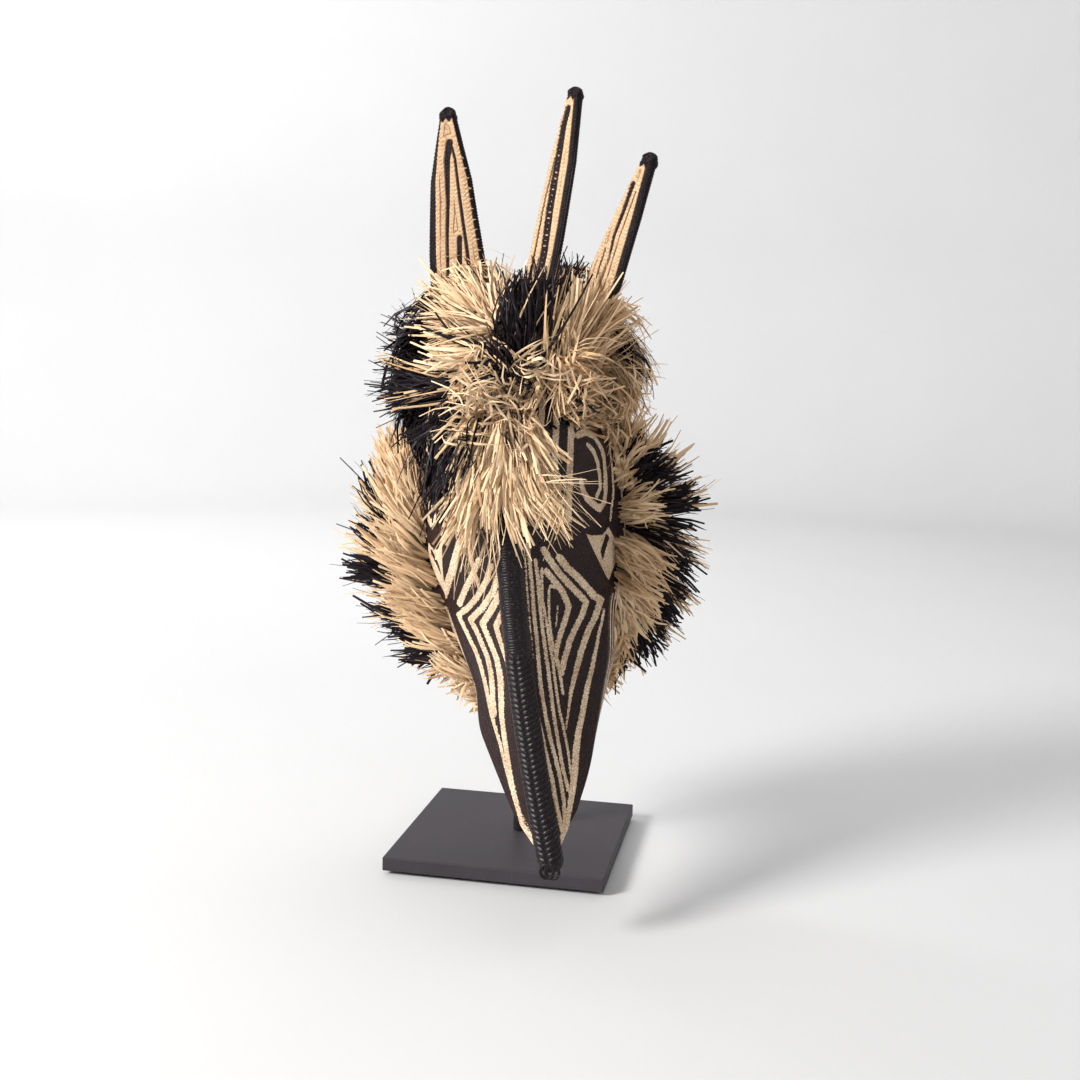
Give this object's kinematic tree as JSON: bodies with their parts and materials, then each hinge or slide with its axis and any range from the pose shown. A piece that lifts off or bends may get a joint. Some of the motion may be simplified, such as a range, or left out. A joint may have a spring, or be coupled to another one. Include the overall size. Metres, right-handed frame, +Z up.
{
  "type": "woven mask",
  "caption": "Woven fibre bird mask with a long keeled beak, a fringed ruff and cap and a blade crest, held on a square steel plate by a bent rod.",
  "frame": {"origin": "on the floor, straight under the middle of the whole object's bounding box", "axes": "+Z up, +X along the plate's front edge, the mask looks towards -Y"},
  "size_m": [0.2556, 0.2522, 0.5411],
  "materials": {
    "coated_steel": "satin charcoal powder coat",
    "rod_steel": "satin black paint",
    "foot_rubber": "matte black bumper",
    "woven_stripe": "tightly woven plant fibre in natural and black stripes",
    "bound_black": "glossy black fibre, wound and plaited",
    "ruff_fibre": "loose flat fibre strands, natural with dyed black areas",
    "head_fibre": "loose flat fibre strands, natural with dyed black tufts",
    "blade_braid": "braided fibre in natural and black rows, corded edges"
  },
  "bodies": {
    "root": {"base_plate": "coated_steel", "foot_front_left": "foot_rubber", "foot_front_right": "foot_rubber", "foot_back_left": "foot_rubber", "foot_back_right": "foot_rubber", "stand_rod": "rod_steel", "mask_shell": "woven_stripe", "beak_ridge": "bound_black", "ruff_fringe": "ruff_fibre", "head_fringe": "head_fibre", "crest_blade_left": "blade_braid", "crest_blade_centre": "blade_braid", "crest_blade_right": "blade_braid"}
  },
  "joints": []
}
